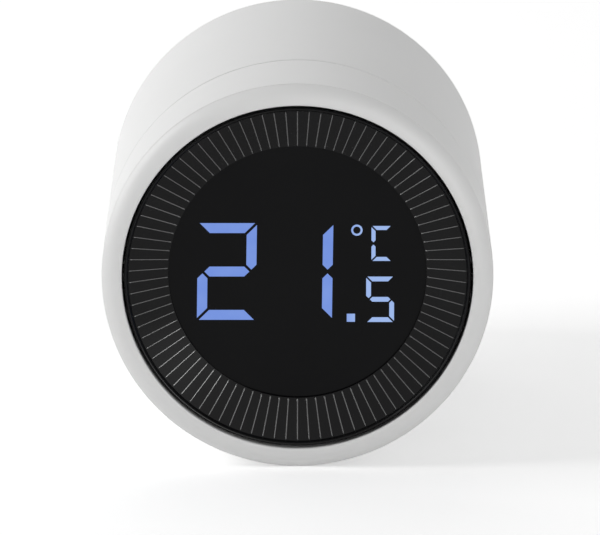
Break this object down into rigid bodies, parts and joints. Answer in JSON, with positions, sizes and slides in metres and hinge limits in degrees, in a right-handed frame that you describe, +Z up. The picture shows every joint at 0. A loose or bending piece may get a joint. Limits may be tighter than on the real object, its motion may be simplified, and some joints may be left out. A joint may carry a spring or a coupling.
{
  "type": "thermostatic radiator valve head",
  "caption": "Motor-driven radiator thermostat head: white cylinder with a turning front ring, black recessed face with a lit temperature display, and a screw-on union nut.",
  "frame": {"origin": "centre of the union nut's mouth, on the head's axis", "axes": "+Y along the head's axis, out of the valve connection; the display faces -Y; +Z is up as the display is read"},
  "size_m": [0.056, 0.0858, 0.056],
  "materials": {
    "white_shell": "satin",
    "gloss_black": "polished",
    "window_black": "polished",
    "black_plastic": "fine texture",
    "grey_plastic": "satin",
    "acetal": "satin",
    "circuit_board": "solder mask",
    "light_guide": "clear diffuser",
    "steel": "zinc plated",
    "nickel": "nickel plated",
    "cell_jacket": "bright",
    "brass": "turned",
    "wire_red": "smooth",
    "wire_black": "smooth"
  },
  "bodies": {
    "root": {"body_sleeve": "white_shell", "rear_cap": "white_shell", "tact_switch_left": "black_plastic", "tact_switch_right": "black_plastic", "led_housing": "black_plastic", "mcu_chip": "black_plastic", "temperature_sensor": "black_plastic", "encoder_body": "black_plastic", "chassis": "black_plastic", "battery_tray": "black_plastic", "gearbox_front_plate": "grey_plastic", "gearbox_mid_plate": "grey_plastic", "gearbox_rear_plate": "grey_plastic", "main_pcb": "circuit_board", "led_light_guide": "light_guide", "ring_retaining_clip": "steel", "contact_spring_left": "steel", "contact_spring_right": "steel", "gear_motor": "steel", "gear_pin_1": "steel", "gear_pin_2": "steel", "thrust_washer": "steel", "pcb_screw_1": "steel", "pcb_screw_2": "steel", "tray_screw_left": "steel", "tray_screw_right": "steel", "gearbox_screw_1": "steel", "gearbox_screw_2": "steel", "gearbox_screw_3": "steel", "motor_screw_1": "steel", "motor_screw_2": "steel", "cap_screw_1": "steel", "cap_screw_2": "steel", "cap_screw_3": "steel", "cap_screw_4": "steel", "radio_module": "nickel", "contact_plate_left": "nickel", "contact_plate_right": "nickel", "rear_contact_plate": "nickel", "battery_left": "cell_jacket", "battery_right": "cell_jacket", "capacitor": "cell_jacket", "seat_collar": "brass", "motor_lead_red": "wire_red", "motor_lead_black": "wire_black"},
    "ring": {"setting_ring": "white_shell"},
    "face": {"face_bezel": "gloss_black", "display_window": "window_black", "switch_plunger_left": "grey_plastic", "switch_plunger_right": "grey_plastic"},
    "encoder": {"encoder_gear": "acetal", "encoder_shaft": "steel"},
    "drive": {"drive_gear": "acetal"},
    "gear_2": {"compound_gear_2": "acetal"},
    "gear_1": {"compound_gear_1": "acetal"},
    "pinion": {"motor_pinion": "brass"},
    "plunger": {"plunger": "grey_plastic"},
    "nut": {"union_nut": "white_shell"},
    "door": {"battery_door": "white_shell"}
  },
  "joints": [
    {"name": "ring_turn", "type": "hinge", "parent": "root", "child": "ring", "pos_m": [0, 0, 0], "axis": [0, 1, 0], "continuous": true},
    {"name": "encoder_turn", "type": "hinge", "parent": "root", "child": "encoder", "pos_m": [0, 0, 0.0196], "axis": [0, 1, 0], "continuous": true},
    {"name": "face_press", "type": "slide", "parent": "root", "child": "face", "axis": [0, 1, 0], "range_m": [0, 0.0004], "stiffness_N_per_m": 2000},
    {"name": "drive_turn", "type": "hinge", "parent": "root", "child": "drive", "pos_m": [0, 0, 0], "axis": [0, 1, 0], "range_deg": [-1080, 0]},
    {"name": "gear_2_turn", "type": "hinge", "parent": "root", "child": "gear_2", "pos_m": [-0.006, 0, 0.01039], "axis": [0, 1, 0], "range_deg": [0, 2624]},
    {"name": "gear_1_turn", "type": "hinge", "parent": "root", "child": "gear_1", "pos_m": [0.006, 0, 0.01039], "axis": [0, 1, 0], "range_deg": [-6371, 0]},
    {"name": "pinion_turn", "type": "hinge", "parent": "root", "child": "pinion", "pos_m": [-0.006, 0, 0.01039], "axis": [0, 1, 0], "range_deg": [0, 15471]},
    {"name": "plunger_slide", "type": "slide", "parent": "root", "child": "plunger", "axis": [0, 1, 0], "range_m": [0, 0.0045]},
    {"name": "nut_turn", "type": "hinge", "parent": "root", "child": "nut", "pos_m": [0, 0, 0], "axis": [0, 1, 0], "continuous": true},
    {"name": "door_slide", "type": "slide", "parent": "root", "child": "door", "axis": [0, 1, 0], "range_m": [0, 0.046]}
  ],
  "couplings": [
    {"joint": "encoder_turn", "follows": "ring_turn", "ratio": 4.5},
    {"joint": "gear_2_turn", "follows": "drive_turn", "ratio": -2.4286},
    {"joint": "gear_1_turn", "follows": "drive_turn", "ratio": 5.898},
    {"joint": "pinion_turn", "follows": "drive_turn", "ratio": -14.324},
    {"joint": "plunger_slide", "follows": "drive_turn", "m_per_rad": -0.00023873}
  ]
}
